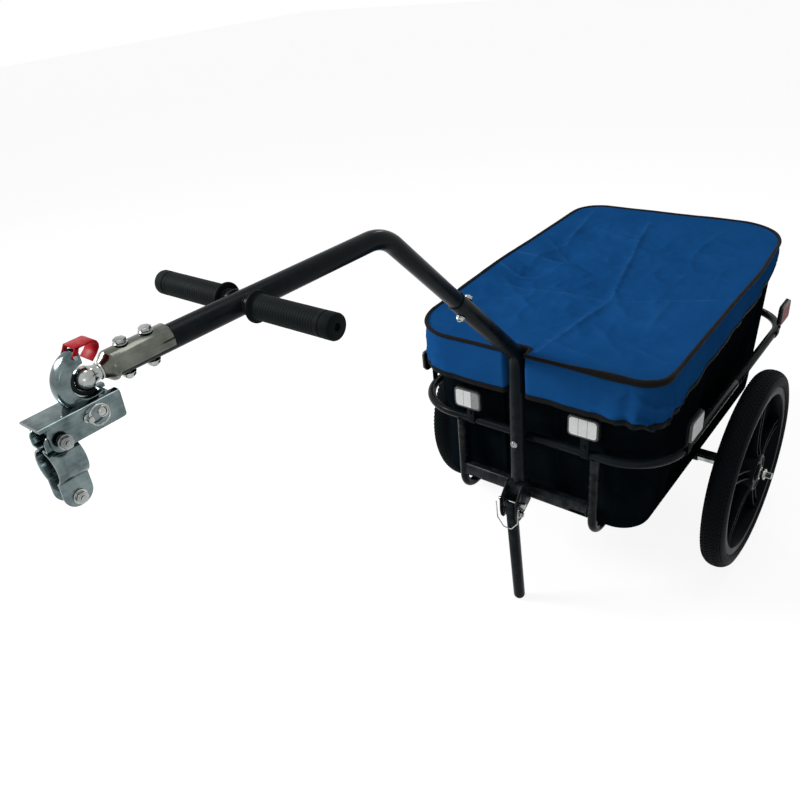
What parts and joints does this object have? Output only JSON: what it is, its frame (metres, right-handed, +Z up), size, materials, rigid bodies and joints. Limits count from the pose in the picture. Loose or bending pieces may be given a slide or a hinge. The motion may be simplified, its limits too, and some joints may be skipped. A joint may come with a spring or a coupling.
{
  "type": "bike cargo trailer",
  "caption": "Bike cargo trailer: ribbed tub with a fabric cover in a tube frame, spoked plastic wheels, drawbar with stand, handle and ball hitch.",
  "frame": {"origin": "on the ground under the middle of the whole trailer", "axes": "+Z up, -Y towards the hitch, X along the axle"},
  "size_m": [0.69, 1.524, 0.887],
  "materials": {
    "black_powder_coat": "satin black powder coat",
    "zinc_steel": "zinc plate, satin",
    "dark_zinc_steel": "zinc plate, dull",
    "black_plastic": "matt",
    "tub_plastic": "satin moulded",
    "wheel_plastic": "satin moulded",
    "rubber": "matt",
    "grip_rubber": "matt",
    "cover_fabric": "coated woven fabric",
    "white_reflector": "prismatic, glossy",
    "red_reflector": "prismatic, glossy",
    "red_coat": "gloss coat"
  },
  "bodies": {
    "chassis": {"hoop_front": "black_powder_coat", "hoop_rear": "black_powder_coat", "hoop_plug_right": "black_powder_coat", "hoop_plug_left": "black_powder_coat", "rail_right": "black_powder_coat", "rail_left": "black_powder_coat", "front_crossbar": "black_powder_coat", "axle_beam": "black_powder_coat", "drawbar_lower": "black_powder_coat", "drawbar_upper": "black_powder_coat", "handle_right": "black_powder_coat", "handle_left": "black_powder_coat", "stand_bracket": "black_powder_coat", "axle_right": "zinc_steel", "axle_left": "zinc_steel", "axle_nut_right": "zinc_steel", "axle_nut_left": "zinc_steel", "saddle": "zinc_steel", "saddle_bolt_front": "zinc_steel", "saddle_bolt_rear": "zinc_steel", "drawbar_bolt": "dark_zinc_steel", "post_bolt": "dark_zinc_steel", "stand_pivot_bolt": "dark_zinc_steel", "front_reflector_right_bracket": "black_plastic", "front_reflector_left_bracket": "black_plastic", "side_reflector_right_bracket": "black_plastic", "side_reflector_left_bracket": "black_plastic", "rear_reflector_right_bracket": "black_plastic", "rear_reflector_left_bracket": "black_plastic", "tub": "tub_plastic", "grip_right": "grip_rubber", "grip_left": "grip_rubber", "front_reflector_right_lens": "white_reflector", "front_reflector_left_lens": "white_reflector", "side_reflector_right_lens": "white_reflector", "side_reflector_left_lens": "white_reflector", "rear_reflector_right_lens": "red_reflector", "rear_reflector_left_lens": "red_reflector"},
    "wheel_right": {"tyre_right": "rubber", "wheel_right": "wheel_plastic"},
    "wheel_left": {"tyre_left": "rubber", "wheel_left": "wheel_plastic"},
    "cover": {"cover": "cover_fabric"},
    "stand": {"stand_leg": "black_powder_coat"},
    "lock_pin": {"lock_pin": "dark_zinc_steel"},
    "lock_bail": {"lock_bail": "zinc_steel"},
    "ball": {"ball_stud": "zinc_steel"},
    "liner": {"hook_liner": "black_plastic"},
    "hitch": {"hook": "dark_zinc_steel", "hitch_channel": "dark_zinc_steel", "hitch_rivet": "zinc_steel", "lever_pivot": "zinc_steel", "clamp_bolt_upper": "zinc_steel"},
    "lever": {"safety_lever": "red_coat"},
    "clamp": {"clamp_half_right": "dark_zinc_steel", "clamp_half_left": "dark_zinc_steel", "clamp_bolt_lower": "zinc_steel"},
    "linch_pin": {"linch_pin": "zinc_steel"},
    "linch_ring": {"linch_ring": "zinc_steel"}
  },
  "joints": [
    {"name": "wheel_right_spin", "type": "hinge", "parent": "chassis", "child": "wheel_right", "pos_m": [0.298, 0.3705, 0.2], "axis": [1, 0, 0], "continuous": true},
    {"name": "wheel_left_spin", "type": "hinge", "parent": "chassis", "child": "wheel_left", "pos_m": [-0.298, 0.3705, 0.2], "axis": [1, 0, 0], "continuous": true},
    {"name": "stand_fold", "type": "hinge", "parent": "chassis", "child": "stand", "pos_m": [0, -0.0132, 0.2336], "axis": [1, 0, 0], "range_deg": [0, 56]},
    {"name": "lock_pin_pull", "type": "slide", "parent": "chassis", "child": "lock_pin", "axis": [1, 0, 0], "range_m": [0, 0.04]},
    {"name": "bail_swing", "type": "hinge", "parent": "lock_pin", "child": "lock_bail", "pos_m": [0.0225, -0.0135, 0.255], "axis": [0, 1, 0], "range_deg": [-110, 0]},
    {"name": "cover_lift", "type": "slide", "parent": "chassis", "child": "cover", "axis": [0, 0, 1], "range_m": [0, 0.35]},
    {"name": "ball_roll", "type": "hinge", "parent": "chassis", "child": "ball", "pos_m": [0, -0.7019, 0.85439], "axis": [0, 1, 0], "range_deg": [-15, 15]},
    {"name": "hitch_yaw", "type": "hinge", "parent": "ball", "child": "liner", "pos_m": [0, -0.7019, 0.85439], "axis": [0, 0, 1], "range_deg": [-25, 25]},
    {"name": "hitch_pitch", "type": "hinge", "parent": "liner", "child": "hitch", "pos_m": [0, -0.7019, 0.85439], "axis": [1, 0, 0], "range_deg": [-6, 4]},
    {"name": "lever_open", "type": "hinge", "parent": "hitch", "child": "lever", "pos_m": [0, -0.708, 0.879], "axis": [1, 0, 0], "range_deg": [0, 30], "stiffness_Nm_per_rad": 0.06, "springref_deg": -20.05},
    {"name": "clamp_swing", "type": "hinge", "parent": "hitch", "child": "clamp", "pos_m": [0, -0.7445, 0.82], "axis": [1, 0, 0], "range_deg": [-90, 0]},
    {"name": "linch_pin_pull", "type": "slide", "parent": "hitch", "child": "linch_pin", "axis": [1, 0, 0], "range_m": [0, 0.04]},
    {"name": "linch_ring_swing", "type": "hinge", "parent": "linch_pin", "child": "linch_ring", "pos_m": [0.0201, -0.718, 0.8275], "axis": [0, 0, 1], "range_deg": [-75, 0]}
  ]
}
